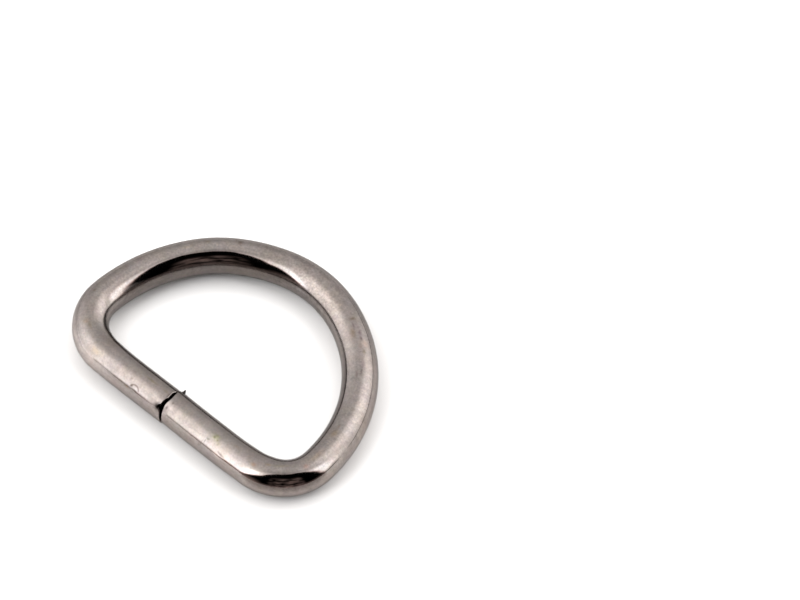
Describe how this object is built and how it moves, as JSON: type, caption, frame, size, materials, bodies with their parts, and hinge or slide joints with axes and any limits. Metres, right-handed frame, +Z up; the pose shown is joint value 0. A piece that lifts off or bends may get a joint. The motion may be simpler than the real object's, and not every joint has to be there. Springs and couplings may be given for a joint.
{
  "type": "d ring",
  "caption": "D-shaped ring of round wire bent in one piece, its cut ends meeting in the straight bar: a strap goes round the bar, a hook or clip in the arch.",
  "frame": {"origin": "centre of the ring's outline on the surface that it lies on", "axes": "+X along the straight bar, +Y from the bar to the crown of the arch, +Z up, through the ring"},
  "size_m": [0.0322, 0.0236, 0.0036],
  "materials": {
    "black_nickel": "polished dark nickel plating on round steel wire, with small stains, pits and handling marks"
  },
  "bodies": {
    "root": {"ring": "black_nickel"}
  },
  "joints": []
}
